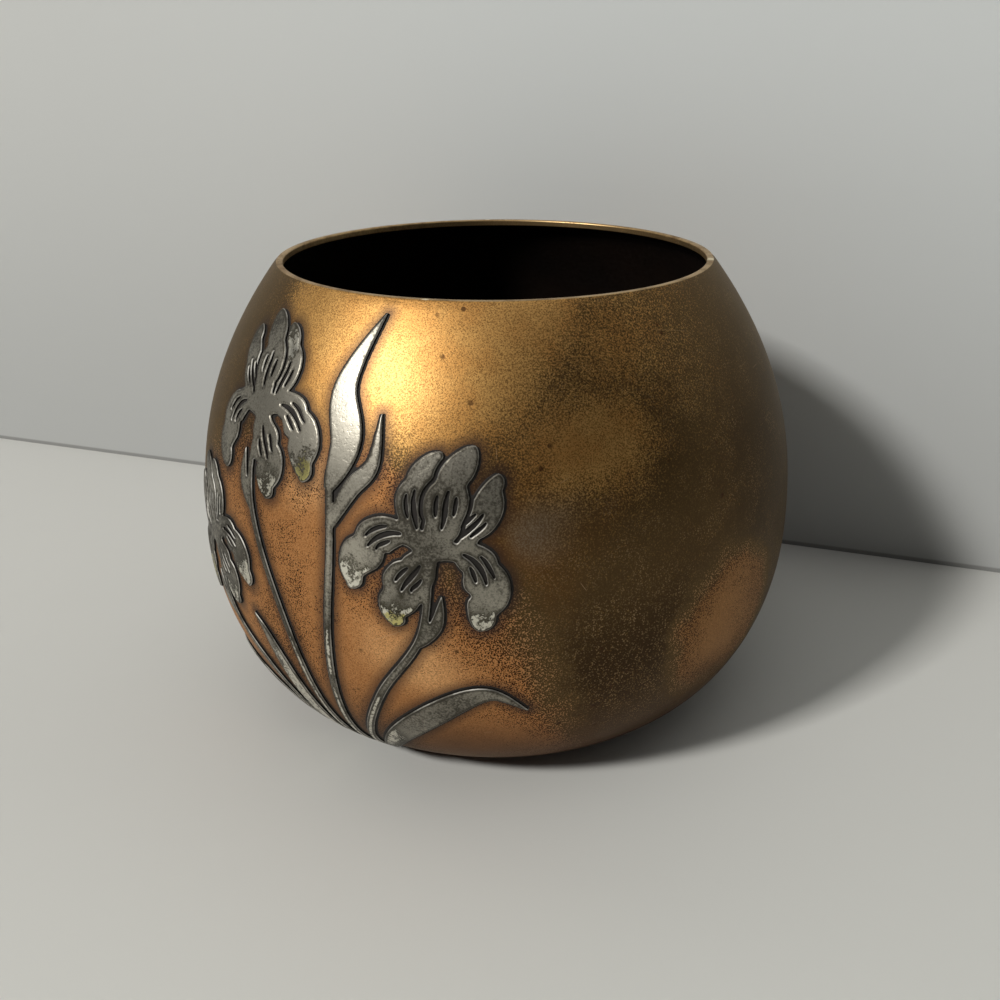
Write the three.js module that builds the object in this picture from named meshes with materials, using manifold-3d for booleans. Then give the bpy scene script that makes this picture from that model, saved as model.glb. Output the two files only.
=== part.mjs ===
// Ball vase of spun bronze sheet with a silver overlay: three iris sprays, a bud and a long leaf,
// each cut from sheet silver and bonded to the outside of the body.
// Millimetres, +Z up. The origin is the centre of the base, and the front of the vase faces -Y.
import * as THREE from "three";
import { mergeVertices } from "three/addons/utils/BufferGeometryUtils.js";
import { TessellateModifier } from "three/addons/modifiers/TessellateModifier.js";
import Module from "manifold-3d";

const wasm = await Module();
wasm.setup();

// Body
const bodyHeight = 96.4;
const bellyRadius = 65;
const bellyHeight = 40.8;
const footRadius = 38;
const mouthRadius = 45.4;
const shoulderPower = 2.3; // how late the shoulder turns in towards the mouth
const wallThickness = 1.0;
const lipWidth = 1.4;
const lipDepth = 1.4;
const baseRecessRadius = 31;
const baseRecessDepth = 0.8;
const baseRecessSlope = 1.5;
const roundSegments = 64;
const bowlRows = 11;
const shoulderRows = 10;

// Overlay
const silverThickness = 0.6;
const bondGap = 0.3;
const patternAzimuth = THREE.MathUtils.degToRad(-33); // from the front, towards -X
const patternFootMargin = 8;
const patternLipMargin = 3;
const stemWidth = 1.85;
const stemTopWidth = 1.4;
const petalGapWidth = 0.6;
const petalNeckShare = 0.24; // of the petal's length, joined to the petals behind
const petalBluntness = 0.75; // how full a petal stays towards its tip
const veinWidth = 0.86;
const sideVeinWidth = 0.65;
const sideVeinPlace = 0.42; // of the petal's half width, out from its midrib
const tipWidth = 0.2;
const petalSteps = 22;
const veinSteps = 6;
const stemSteps = 24;
const facetLength = 4.5;

const bronze = new THREE.MeshStandardMaterial({ color: 0x7a4a22, roughness: 0.42, metalness: 1 });
const silver = new THREE.MeshStandardMaterial({ color: 0x8f8c86, roughness: 0.35, metalness: 1 });

// The outside of the body, from the foot's edge (share 0) to the belly and on to the mouth (share 1).
function bowlPoint(share) {
  const angle = (share * Math.PI) / 2;
  const radius = footRadius + (bellyRadius - footRadius) * Math.sin(angle);
  return new THREE.Vector2(radius, bellyHeight * (1 - Math.cos(angle)));
}

function shoulderPoint(share) {
  const radius = bellyRadius - (bellyRadius - mouthRadius) * share ** shoulderPower;
  return new THREE.Vector2(radius, bellyHeight + (bodyHeight - bellyHeight) * share);
}

function sampled(pointAt, rows) {
  return Array.from({ length: rows + 1 }, (_, row) => pointAt(row / rows));
}

// The same outside as a table of length along it, used to lay the overlay on it.
const outsideFine = [...sampled(bowlPoint, 200), ...sampled(shoulderPoint, 200).slice(1)];
const outsideLength = [0];
for (let i = 1; i < outsideFine.length; i++) {
  outsideLength.push(outsideLength[i - 1] + outsideFine[i].distanceTo(outsideFine[i - 1]));
}
const outsideTotal = outsideLength.at(-1);

// The overlay is drawn flat: x is round the body from the pattern's middle, y is up its side. The tip of the
// bud is the drawing's highest point, and the drawing is scaled to fill the body from margin to margin.
const budTip = [8.6, 106];
const drawingScale = (outsideTotal - patternFootMargin - patternLipMargin) / budTip[1];
const inDrawing = (millimetres) => millimetres / drawingScale;

// The point at a length along the outside, and the outward normal there.
function outsideAt(length) {
  const wanted = THREE.MathUtils.clamp(length, 0, outsideTotal);
  const found = outsideLength.findIndex((value) => value >= wanted);
  const high = Math.max(1, found);
  const low = high - 1;
  const part = (wanted - outsideLength[low]) / (outsideLength[high] - outsideLength[low]);
  const point = outsideFine[low].clone().lerp(outsideFine[high], part);
  const along = outsideFine[high].clone().sub(outsideFine[low]).normalize();
  return { point, normal: new THREE.Vector2(along.y, -along.x) };
}

function inwardOffset(points, distance) {
  return points.map((point, i) => {
    const before = points[Math.max(0, i - 1)];
    const after = points[Math.min(points.length - 1, i + 1)];
    const along = after.clone().sub(before).normalize();
    return new THREE.Vector2(point.x - along.y * distance, point.y + along.x * distance);
  });
}

function bodyGeometry() {
  const outside = [...sampled(bowlPoint, bowlRows), ...sampled(shoulderPoint, shoulderRows).slice(1)];
  const lipInnerRadius = mouthRadius - lipWidth;
  const lipBottom = bodyHeight - lipDepth;
  const floorTop = baseRecessDepth + wallThickness;
  const inside = inwardOffset(outside, wallThickness)
    .filter((point) => point.y > floorTop + wallThickness / 2)
    .filter((point) => point.y < lipBottom - wallThickness);
  const profile = [
    new THREE.Vector2(0, baseRecessDepth),
    new THREE.Vector2(baseRecessRadius, baseRecessDepth),
    new THREE.Vector2(baseRecessRadius + baseRecessSlope, 0),
    ...outside,
    new THREE.Vector2(lipInnerRadius, bodyHeight),
    new THREE.Vector2(lipInnerRadius, lipBottom),
    ...inside.reverse(),
    new THREE.Vector2(footRadius, floorTop),
    new THREE.Vector2(0, floorTop),
  ];
  const geometry = new THREE.LatheGeometry(profile, roundSegments);
  geometry.rotateX(Math.PI / 2);
  return geometry;
}

// One flat blade in the drawing: a strip along a midrib, from a share of its length to its tip.
// halfWidthAt gives its half width at a share of the length, on its left side (1) and its right side (-1).
function bladeShape(midrib, halfWidthAt, steps, first = 0) {
  const curve = new THREE.SplineCurve(midrib.map(([x, y]) => new THREE.Vector2(x, y)));
  const left = [];
  const right = [];
  for (let i = 0; i <= steps; i++) {
    const share = first + (1 - first) * Math.sin(((i / steps) * Math.PI) / 2);
    const point = curve.getPoint(share);
    const tangent = curve.getTangent(share);
    const leftHalf = halfWidthAt(share, 1);
    const rightHalf = halfWidthAt(share, -1);
    left.push(new THREE.Vector2(point.x - tangent.y * leftHalf, point.y + tangent.x * leftHalf));
    right.push(new THREE.Vector2(point.x + tangent.y * rightHalf, point.y - tangent.x * rightHalf));
  }
  return new THREE.Shape([...right, ...left.reverse()]);
}

function solidOf(geometry) {
  const bare = geometry.clone();
  bare.deleteAttribute("normal");
  bare.deleteAttribute("uv");
  const merged = mergeVertices(bare, 1e-4);
  return new wasm.Manifold(
    new wasm.Mesh({
      numProp: 3,
      vertProperties: merged.getAttribute("position").array,
      triVerts: new Uint32Array(merged.index.array),
    }),
  );
}

function sheetSolid(shape, low = 0, high = silverThickness) {
  const geometry = new THREE.ExtrudeGeometry(shape, { depth: high - low, bevelEnabled: false });
  geometry.translate(0, 0, low);
  return solidOf(geometry);
}

// A cutter that passes right through the sheet.
function sawnSolid(shape) {
  return sheetSolid(shape, -silverThickness, 2 * silverThickness);
}

// Half widths along a blade.
const stemLike = (base, tip) => (share) => (base + (tip - base) * share) / 2;
const leafLike = (base, widest) => (share) =>
  (base * (1 - share) + widest * Math.sin(Math.PI * share ** 0.85) ** 1.2 + inDrawing(tipWidth)) / 2;
const veinLike = (widest) => (share) => (widest / 2) * (0.2 + 0.8 * Math.sin(Math.PI * share));
const petalLike = ({ neck, widest, peak, lobes, depth, phase }, size) => {
  const rise = (petalBluntness * peak) / (1 - peak);
  const swellAt = (share) => share ** rise * (1 - share) ** petalBluntness;
  return (share, side) => {
    const wave = Math.abs(Math.sin(Math.PI * (lobes * share + phase * side)));
    const frill = 1 - depth * share ** 1.2 * (1 - wave) ** 1.6;
    const half = neck * (1 - share) + (widest * swellAt(share)) / swellAt(peak);
    return size * half * frill + inDrawing(tipWidth) / 2;
  };
};

// An iris seen from the side, its heart at (0, 3) and about 44 mm high before it is scaled.
// A petal is widest at its peak, and its edge has lobes with notches of the given depth between them.
const backPetals = [
  { midrib: [[-0.3, 3], [-4.8, 9.5], [-7.8, 17], [-5.4, 26]], neck: 0.8, widest: 3.6, peak: 0.6, lobes: 2.7, depth: 0.42, phase: 0.1 },
  { midrib: [[0.3, 3], [5, 9.2], [8.6, 16], [8.4, 24.6]], neck: 0.8, widest: 3.6, peak: 0.6, lobes: 2.7, depth: 0.42, phase: 0.28 },
  { midrib: [[-0.4, 3.2], [-6, 6.6], [-11.8, 4.6], [-15.4, -2], [-15.8, -10.4]], neck: 0.9, widest: 4.7, peak: 0.68, lobes: 3.3, depth: 0.45, phase: 0.16 },
  { midrib: [[0.4, 3.2], [6, 6.2], [11.8, 3.8], [15.2, -2.6], [15, -11]], neck: 0.9, widest: 4.7, peak: 0.68, lobes: 3.2, depth: 0.45, phase: 0.3 },
];
const frontPetals = [
  { midrib: [[0, 3], [0.8, 11], [-0.6, 19], [1, 29]], neck: 1, widest: 4.5, peak: 0.58, lobes: 2.8, depth: 0.42, phase: 0.06 },
  { midrib: [[-0.2, 6], [-1.4, 0.4], [-4, -6.6], [-3.6, -15.6]], neck: 1.2, widest: 4.9, peak: 0.62, lobes: 3.2, depth: 0.45, phase: 0.22 },
];
const stemTop = [[2.6, -17], [1.2, 0]];
const spathe = [[2.7, -19], [5.6, -12], [5.2, -4.6]];
const spatheBase = 0.5;
const spatheWidest = 2.6;

// The veins sawn in a petal: how far out from its midrib, and from where to where along it.
const veins = [
  { out: 0, first: 0.28, last: 0.66, widest: inDrawing(veinWidth) },
  { out: sideVeinPlace, first: 0.4, last: 0.62, widest: inDrawing(sideVeinWidth) },
  { out: -sideVeinPlace, first: 0.4, last: 0.62, widest: inDrawing(sideVeinWidth) },
];

// Where a point of the iris lies in the drawing; facing is 1, or -1 for its mirror image.
function turned([x, y], { at, lean, size, facing }) {
  const cos = Math.cos(lean);
  const sin = Math.sin(lean);
  return [at[0] + size * (facing * x * cos - y * sin), at[1] + size * (facing * x * sin + y * cos)];
}

function placed(midrib, place) {
  return midrib.map((point) => turned(point, place));
}

function petalSolid(petal, place) {
  return sheetSolid(bladeShape(placed(petal.midrib, place), petalLike(petal, place.size), petalSteps));
}

// What is sawn out round a front petal, but for its neck, to part it from the petals behind.
function petalGap(petal, place) {
  const halfWidth = petalLike(petal, place.size);
  const grown = (share, side) => halfWidth(share, side) + inDrawing(petalGapWidth);
  return sawnSolid(bladeShape(placed(petal.midrib, place), grown, petalSteps, petalNeckShare));
}

function petalVein(petal, place, { out, first, last, widest }) {
  const curve = new THREE.SplineCurve(placed(petal.midrib, place).map(([x, y]) => new THREE.Vector2(x, y)));
  const halfWidth = petalLike(petal, place.size);
  const along = [0, 1, 2, 3, 4].map((step) => {
    const share = first + ((last - first) * step) / 4;
    const point = curve.getPoint(share);
    const tangent = curve.getTangent(share);
    const aside = halfWidth(share, Math.sign(out) || -1) * out;
    return [point.x - tangent.y * aside, point.y + tangent.x * aside];
  });
  return sawnSolid(bladeShape(along, veinLike(widest), veinSteps));
}

function stemSolid(midrib) {
  const halfWidth = stemLike(inDrawing(stemWidth), inDrawing(stemTopWidth));
  return sheetSolid(bladeShape(midrib, halfWidth, stemSteps));
}

function leafSolid(midrib, base, widest) {
  return sheetSolid(bladeShape(midrib, leafLike(base, widest), stemSteps));
}

// An iris on its stem, with the small leaf that its bud came out of.
function irisSolid(place, stemFoot) {
  const joined = (pieces) => pieces.reduce((whole, piece) => whole.add(piece));
  const back = joined(backPetals.map((petal) => petalSolid(petal, place)));
  const parted = frontPetals.reduce((whole, petal) => whole.subtract(petalGap(petal, place)), back);
  const flower = joined([
    parted,
    stemSolid([...stemFoot, ...placed(stemTop, place)]),
    leafSolid(placed(spathe, place), spatheBase, spatheWidest * place.size),
    ...frontPetals.map((petal) => petalSolid(petal, place)),
  ]);
  return [...backPetals, ...frontPetals].reduce(
    (whole, petal) => veins.reduce((cut, vein) => cut.subtract(petalVein(petal, place, vein)), whole),
    flower,
  );
}

// Bends a flat piece of the drawing round the body: drawing x runs round it, y up its side, z out of it.
function laidOnBody(flat) {
  const mesh = flat.getMesh();
  const positions = [];
  for (const index of mesh.triVerts) {
    positions.push(...mesh.vertProperties.subarray(index * mesh.numProp, index * mesh.numProp + 3));
  }
  const loose = new THREE.BufferGeometry();
  loose.setAttribute("position", new THREE.Float32BufferAttribute(positions, 3));
  const fine = new TessellateModifier(inDrawing(facetLength), 12).modify(loose);
  const position = fine.getAttribute("position");
  for (let i = 0; i < position.count; i++) {
    const { point, normal } = outsideAt(patternFootMargin + position.getY(i) * drawingScale);
    const out = bondGap + position.getZ(i);
    const radius = point.x + normal.x * out;
    const angle = patternAzimuth + (position.getX(i) * drawingScale) / point.x;
    position.setXYZ(i, radius * Math.sin(angle), -radius * Math.cos(angle), point.y + normal.y * out);
  }
  return mergeVertices(fine, 1e-3);
}

function named(name, geometry, material) {
  const mesh = new THREE.Mesh(geometry, material);
  mesh.name = name;
  return mesh;
}

// The overlay's pieces.
const leftIris = { at: [-29.5, 50], lean: 0.42, size: 0.72, facing: -1 };
const leftSpray = irisSolid(leftIris, [[-6, 0], [-8.8, 14], [-15.4, 27]])
  .add(leafSolid([[-6.8, 3], [-16, 15], [-28, 22], [-42, 22]], 1, 4.2));

const middleIris = { at: [-14, 80], lean: 0.12, size: 0.8, facing: -1 };
const middleSpray = irisSolid(middleIris, [[-0.3, 0], [-1.2, 20], [-5, 42]]);

const rightIris = { at: [25.2, 61], lean: -0.22, size: 0.8, facing: 1 };
const rightSpray = irisSolid(rightIris, [[4.8, 0], [7.2, 16], [15, 33]])
  .add(leafSolid([[5.6, 4], [14.7, 19], [26.5, 30.5], [36, 35.5], [43, 31]], 1, 4.8));

const budStem = stemSolid([[2.2, 0], [3.1, 20], [5.3, 44], [6.6, 62], [5.4, 76]])
  .add(leafSolid([[5.4, 73], [7.6, 82], [5, 92], budTip], 1.4, 5.4))
  .add(leafSolid([[6.1, 66], [10, 74], [13.6, 79], [13.4, 88]], 1, 2.8));

const longLeaf = leafSolid([[-3.1, 0], [-4.8, 14], [-8.2, 28], [-12.2, 37.5], [-16, 42]], 1.5, 3.4);

const vase = new THREE.Group();
vase.add(named("body", bodyGeometry(), bronze));
vase.add(named("iris_spray_left", laidOnBody(leftSpray), silver));
vase.add(named("iris_spray_middle", laidOnBody(middleSpray), silver));
vase.add(named("iris_spray_right", laidOnBody(rightSpray), silver));
vase.add(named("bud_stem", laidOnBody(budStem), silver));
vase.add(named("long_leaf", laidOnBody(longLeaf), silver));

export default vase;
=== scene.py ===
"""Looks of the bronze ball vase with its silver overlay. Metres, +Z up, the front faces -Y."""

import math
from functools import reduce

import bmesh
import bpy
import numpy as np
from mathutils import Euler, Matrix, Vector
from mathutils.kdtree import KDTree


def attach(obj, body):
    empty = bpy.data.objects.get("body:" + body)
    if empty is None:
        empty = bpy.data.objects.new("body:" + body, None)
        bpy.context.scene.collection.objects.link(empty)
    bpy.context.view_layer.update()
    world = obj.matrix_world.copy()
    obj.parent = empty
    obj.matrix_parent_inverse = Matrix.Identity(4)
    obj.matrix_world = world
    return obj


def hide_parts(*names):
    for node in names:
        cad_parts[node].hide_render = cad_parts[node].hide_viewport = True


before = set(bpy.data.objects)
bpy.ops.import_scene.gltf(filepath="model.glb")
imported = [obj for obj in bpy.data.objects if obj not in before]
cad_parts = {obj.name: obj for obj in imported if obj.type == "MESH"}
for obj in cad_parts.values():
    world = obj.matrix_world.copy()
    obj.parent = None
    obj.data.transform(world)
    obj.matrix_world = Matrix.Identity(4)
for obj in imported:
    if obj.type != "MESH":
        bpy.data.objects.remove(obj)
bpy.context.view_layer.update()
MM = 0.001

# The body's sizes, in millimetres.
BODY_HEIGHT = 96.4
BELLY_RADIUS = 65.0
BELLY_HEIGHT = 40.8
FOOT_RADIUS = 38.0
MOUTH_RADIUS = 45.4
WALL = 1.0
LIP_WIDTH = 1.4
LIP_DEPTH = 1.4
LIP_ROUNDING = 0.3
RECESS_RADIUS = 31.0
RECESS_DEPTH = 0.8
RECESS_SLOPE = 1.5

# The higher this power, the fuller the shoulder.
SHOULDER_POWER = 2.3

# The rounded corners of the body's section, as offsets from the sharp ones, in millimetres.
RECESS_TOP_CORNER = ((-1, 0), (0, -0.1))
RECESS_FOOT_CORNER = ((0, 0.05), (0.6, 0))
LIP_OUTER_CORNER = ((0.12, -LIP_ROUNDING), (-0.08, -0.06), (-LIP_ROUNDING, 0))
LIP_INNER_CORNER = ((LIP_ROUNDING, 0), (0.07, -0.07), (0, -LIP_ROUNDING), (0, -LIP_ROUNDING - 0.08))
LIP_UNDER_CORNER = ((0, 0.2), (0, 0.14), (0.05, 0.04), (0.15, 0))

# How finely the body is spun and its outside is measured, and how near, in metres, doubled points lie.
BODY_TURNS = 320
OUTSIDE_ROWS = 64
INSIDE_ROWS = 20
MEASURED_ROWS = 200
MERGE_DISTANCE = 1e-6

# The overlay's sizes, in millimetres.
SILVER_THICKNESS = 0.6
SILVER_SINK = 0.05
SILVER_EDGE = 0.18
SILVER_EDGE_DROP = 0.14
SILVER_SIDE = 0.2
PATTERN_FOOT_MARGIN = 8
PATTERN_LIP_MARGIN = 3
STEM_WIDTH = 1.85
STEM_TOP_WIDTH = 1.4
PETAL_GAP = 0.6
VEIN_WIDTH = 0.86
SIDE_VEIN_WIDTH = 0.65
TIP_WIDTH = 0.2
DIRT_DEPTH = 0.75
DIRT_PROUD = 0.05
HALO_REACH = 2.6
SAW_MARGIN = 1.0
PATTERN_AZIMUTH = math.radians(-33)

# How far the dark line reaches past the silver, and the thinnest blade, in the drawing's own units.
DIRT_WIDTH = 0.48
LEAST_HALF_WIDTH = 0.03

# Shares of a petal's length or half width, and the powers that shape petals and leaves.
PETAL_NECK_SHARE = 0.24
SIDE_VEIN_PLACE = 0.42
VEIN_END_SHARE = 0.2
PETAL_BLUNTNESS = 0.75
NOTCH_GROWTH = 1.2
NOTCH_SHARPNESS = 1.6
LEAF_FULLNESS = 0.85
LEAF_TAPER = 1.2

# How finely the overlay is drawn and meshed. Voxels in millimetres, each piece under 200,000 triangles.
PETAL_STEPS = 48
STEM_STEPS = 48
VEIN_STEPS = 12
VEIN_PARTS = 4
SILVER_VOXEL = 0.152
SILVER_SMOOTHING = 3
DIRT_VOXEL = 0.2
DIRT_SMOOTHING = 1

# A point whose normal rises less than this is on the sawn side. Every third point serves the halo.
SIDE_NORMAL = 0.4
HALO_THINNING = 3

# The camera that the photograph was taken with, fitted to the vase's outline.
CAMERA_DISTANCE = 213.9
CAMERA_HEIGHT = 135.2
CAMERA_PITCH = math.radians(24.2)
CAMERA_YAW = math.radians(0.19)
CAMERA_ROLL = math.radians(0.39)
CAMERA_LENS = 36.0
CAMERA_SENSOR = 36

# Where the wall behind meets the table, in millimetres.
WALL_LEFT = (-137.1, 130.2)
WALL_RIGHT = (110.2, 44.9)
WALL_REACH = 1200
WALL_TOP = 1500
TABLE_REACH = 3000


def bowl_point(share):
    angle = share * math.pi / 2
    radius = FOOT_RADIUS + (BELLY_RADIUS - FOOT_RADIUS) * math.sin(angle)
    return radius, BELLY_HEIGHT * (1 - math.cos(angle))


def shoulder_point(share):
    radius = BELLY_RADIUS - (BELLY_RADIUS - MOUTH_RADIUS) * share**SHOULDER_POWER
    return radius, BELLY_HEIGHT + (BODY_HEIGHT - BELLY_HEIGHT) * share


def outside_profile(rows):
    bowl = [bowl_point(i / rows) for i in range(rows + 1)]
    return bowl + [shoulder_point(i / rows) for i in range(1, rows + 1)]


def inward(points, distance):
    """The points of a profile, moved inwards along their normals."""
    moved = []
    for i, (radius, height) in enumerate(points):
        before = points[max(0, i - 1)]
        after = points[min(len(points) - 1, i + 1)]
        along = Vector((after[0] - before[0], after[1] - before[1])).normalized()
        moved.append((radius - along.y * distance, height + along.x * distance))
    return moved


def new_object(name, bm):
    mesh = bpy.data.meshes.new(name)
    bm.to_mesh(mesh)
    bm.free()
    piece = bpy.data.objects.new(name, mesh)
    bpy.context.scene.collection.objects.link(piece)
    return piece


def settle(piece):
    """Applies the piece's modifiers to its mesh."""
    graph = bpy.context.evaluated_depsgraph_get()
    mesh = bpy.data.meshes.new_from_object(piece.evaluated_get(graph))
    piece.modifiers.clear()
    piece.data = mesh


def outside_table():
    """Length along the outside from the foot, with radius, height and the outward normal."""
    points = np.array(outside_profile(MEASURED_ROWS))
    steps = np.hypot(*np.diff(points, axis=0).T)
    length = np.concatenate([[0], np.cumsum(steps)])
    along = np.gradient(points, length, axis=0)
    along /= np.linalg.norm(along, axis=1)[:, None]
    return length, points[:, 0], points[:, 1], along[:, 1], -along[:, 0]


# The drawing of the overlay, flat: x is round the body from the pattern's middle, y is up its side. The tip
# of the bud is its highest point, and it is scaled to fill the body from margin to margin.
BUD_TIP = (8.6, 106)
DRAWING_SCALE = (outside_table()[0][-1] - PATTERN_FOOT_MARGIN - PATTERN_LIP_MARGIN) / BUD_TIP[1]


def curve_point(points, share):
    """A point on a smooth curve through the given points."""
    last = len(points) - 1
    whole = min(int(last * share), last)
    part = last * share - whole
    before = points[max(0, whole - 1)]
    here = points[whole]
    after = points[min(last, whole + 1)]
    beyond = points[min(last, whole + 2)]
    found = []
    for a, b, c, d in zip(before, here, after, beyond):
        slope_b = (c - a) / 2
        slope_c = (d - b) / 2
        cubic = (2 * b - 2 * c + slope_b + slope_c) * part**3
        found.append(cubic + (3 * c - 3 * b - 2 * slope_b - slope_c) * part**2 + slope_b * part + b)
    return Vector(found)


def beside(midrib, share, aside):
    """The point of a curve, moved aside to its left."""
    near = 1e-4
    ahead = curve_point(midrib, min(1, share + near)) - curve_point(midrib, max(0, share - near))
    return curve_point(midrib, share) + Vector((-ahead.y, ahead.x)).normalized() * aside


def blade_outline(midrib, half_width, steps, first=0.0):
    """The outline of a blade along a midrib. half_width(share, side) gives its half width."""
    left = []
    right = []
    for i in range(steps + 1):
        share = min(1.0, first + (1 - first) * math.sin(i / steps * math.pi / 2))
        left.append(beside(midrib, share, half_width(share, 1)))
        right.append(beside(midrib, share, -half_width(share, -1)))
    return right + left[::-1]


def stem_width(share, side):
    return (STEM_WIDTH + (STEM_TOP_WIDTH - STEM_WIDTH) * share) / 2 / DRAWING_SCALE


def leaf_width(base, widest):
    def half_width(share, side):
        swell = max(0, math.sin(math.pi * share**LEAF_FULLNESS)) ** LEAF_TAPER
        return (base * (1 - share) + widest * swell + TIP_WIDTH / DRAWING_SCALE) / 2

    return half_width


def vein_width(widest):
    def half_width(share, side):
        swell = VEIN_END_SHARE + (1 - VEIN_END_SHARE) * math.sin(math.pi * share)
        return widest / 2 / DRAWING_SCALE * swell

    return half_width


def petal_width(petal, size):
    neck, widest, peak, lobes, depth, phase = petal[1:]
    rise = PETAL_BLUNTNESS * peak / (1 - peak)
    fullest = peak**rise * (1 - peak) ** PETAL_BLUNTNESS

    def half_width(share, side):
        wave = abs(math.sin(math.pi * (lobes * share + phase * side)))
        frill = 1 - depth * share**NOTCH_GROWTH * (1 - wave) ** NOTCH_SHARPNESS
        swell = share**rise * (1 - share) ** PETAL_BLUNTNESS / fullest
        return size * (neck * (1 - share) + widest * swell) * frill + TIP_WIDTH / 2 / DRAWING_SCALE

    return half_width


def wider(half_width, extra):
    return lambda share, side: max(LEAST_HALF_WIDTH, half_width(share, side) + extra)


# An iris seen from the side. Petals: midrib, neck, widest, peak, lobes, depth of the notches, phase.
BACK_PETALS = (
    (((-0.3, 3), (-4.8, 9.5), (-7.8, 17), (-5.4, 26)), 0.8, 3.6, 0.6, 2.7, 0.42, 0.1),
    (((0.3, 3), (5, 9.2), (8.6, 16), (8.4, 24.6)), 0.8, 3.6, 0.6, 2.7, 0.42, 0.28),
    (((-0.4, 3.2), (-6, 6.6), (-11.8, 4.6), (-15.4, -2), (-15.8, -10.4)), 0.9, 4.7, 0.68, 3.3, 0.45, 0.16),
    (((0.4, 3.2), (6, 6.2), (11.8, 3.8), (15.2, -2.6), (15, -11)), 0.9, 4.7, 0.68, 3.2, 0.45, 0.3),
)
FRONT_PETALS = (
    (((0, 3), (0.8, 11), (-0.6, 19), (1, 29)), 1, 4.5, 0.58, 2.8, 0.42, 0.06),
    (((-0.2, 6), (-1.4, 0.4), (-4, -6.6), (-3.6, -15.6)), 1.2, 4.9, 0.62, 3.2, 0.45, 0.22),
)
PETALS = BACK_PETALS + FRONT_PETALS
STEM_TOP = ((2.6, -17), (1.2, 0))
SPATHE = ((2.7, -19), (5.6, -12), (5.2, -4.6))
SPATHE_BASE = 0.5
SPATHE_WIDEST = 2.6

# A petal's veins: how far out from its midrib, from where to where along it, and how wide.
VEINS = (
    (0, 0.28, 0.66, VEIN_WIDTH),
    (SIDE_VEIN_PLACE, 0.4, 0.62, SIDE_VEIN_WIDTH),
    (-SIDE_VEIN_PLACE, 0.4, 0.62, SIDE_VEIN_WIDTH),
)

# Where each iris stands in the drawing, its lean, its size, and whether it is a mirror image.
LEFT_IRIS = ((-29.5, 50), 0.42, 0.72, -1)
MIDDLE_IRIS = ((-14, 80), 0.12, 0.8, -1)
RIGHT_IRIS = ((25.2, 61), -0.22, 0.8, 1)


def placed(points, place):
    """Points of an iris at the place where it stands in the drawing."""
    (x0, y0), lean, size, facing = place
    cos, sin = math.cos(lean), math.sin(lean)
    return tuple(
        (x0 + size * (facing * x * cos - y * sin), y0 + size * (facing * x * sin + y * cos))
        for x, y in points
    )


def placed_petal(petal, place):
    size = place[2]
    return placed(petal[0], place), petal_width(petal, size)


class FlatSheet:
    """A flat piece of the drawing, sawn from sheet: blades joined and cut in order."""

    def __init__(self, name, low, high, grow):
        self.name = name
        self.low = low
        self.high = high
        self.grow = grow
        self.whole = None
        self.tools = []

    def blade(self, outline, margin=0.0):
        bm = bmesh.new()
        face = bm.faces.new([bm.verts.new((x, y, self.low - margin)) for x, y in outline])
        made = bmesh.ops.extrude_face_region(bm, geom=[face])
        raised = [item for item in made["geom"] if isinstance(item, bmesh.types.BMVert)]
        bmesh.ops.translate(bm, verts=raised, vec=(0, 0, self.high - self.low + 2 * margin))
        bmesh.ops.recalc_face_normals(bm, faces=bm.faces)
        return new_object(f"{self.name}_blade", bm)

    def use(self, operation, blade):
        if self.whole is None:
            self.whole = blade
            return
        tool = self.whole.modifiers.new(operation, "BOOLEAN")
        tool.operation = operation
        tool.solver = "EXACT"
        tool.object = blade
        self.tools.append(blade)

    def add(self, midrib, half_width, steps):
        outline = blade_outline(midrib, wider(half_width, self.grow), steps)
        self.use("UNION", self.blade(outline))

    def saw(self, midrib, half_width, steps, first=0.0):
        outline = blade_outline(midrib, wider(half_width, -self.grow), steps, first)
        self.use("DIFFERENCE", self.blade(outline, SAW_MARGIN))

    def saw_veins(self, midrib, half_width):
        for out, first, last, widest in VEINS:
            side = 1 if out > 0 else -1
            shares = [first + (last - first) * i / VEIN_PARTS for i in range(VEIN_PARTS + 1)]
            vein = [beside(midrib, share, half_width(share, side) * out) for share in shares]
            self.saw(vein, vein_width(widest), VEIN_STEPS)

    def add_iris(self, place, stem_foot):
        """An iris on its stem. A gap is sawn round each front petal before the petal fills its middle."""
        size = place[2]
        back = [placed_petal(petal, place) for petal in BACK_PETALS]
        front = [placed_petal(petal, place) for petal in FRONT_PETALS]
        for midrib, half_width in back:
            self.add(midrib, half_width, PETAL_STEPS)
        for midrib, half_width in front:
            self.saw(midrib, wider(half_width, PETAL_GAP / DRAWING_SCALE), PETAL_STEPS, PETAL_NECK_SHARE)
        self.add(stem_foot + placed(STEM_TOP, place), stem_width, STEM_STEPS)
        self.add(placed(SPATHE, place), leaf_width(SPATHE_BASE, SPATHE_WIDEST * size), STEM_STEPS)
        for midrib, half_width in front:
            self.add(midrib, half_width, PETAL_STEPS)
        for midrib, half_width in back + front:
            self.saw_veins(midrib, half_width)

    def finished(self):
        settle(self.whole)
        for tool in self.tools:
            bpy.data.objects.remove(tool)
        self.whole.name = self.name
        return self.whole


def draw_left_spray(sheet):
    sheet.add_iris(LEFT_IRIS, ((-6, 0), (-8.8, 14), (-15.4, 27)))
    sheet.add(((-6.8, 3), (-16, 15), (-28, 22), (-42, 22)), leaf_width(1, 4.2), STEM_STEPS)


def draw_middle_spray(sheet):
    sheet.add_iris(MIDDLE_IRIS, ((-0.3, 0), (-1.2, 20), (-5, 42)))


def draw_right_spray(sheet):
    sheet.add_iris(RIGHT_IRIS, ((4.8, 0), (7.2, 16), (15, 33)))
    sheet.add(((5.6, 4), (14.7, 19), (26.5, 30.5), (36, 35.5), (43, 31)), leaf_width(1, 4.8), STEM_STEPS)


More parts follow.
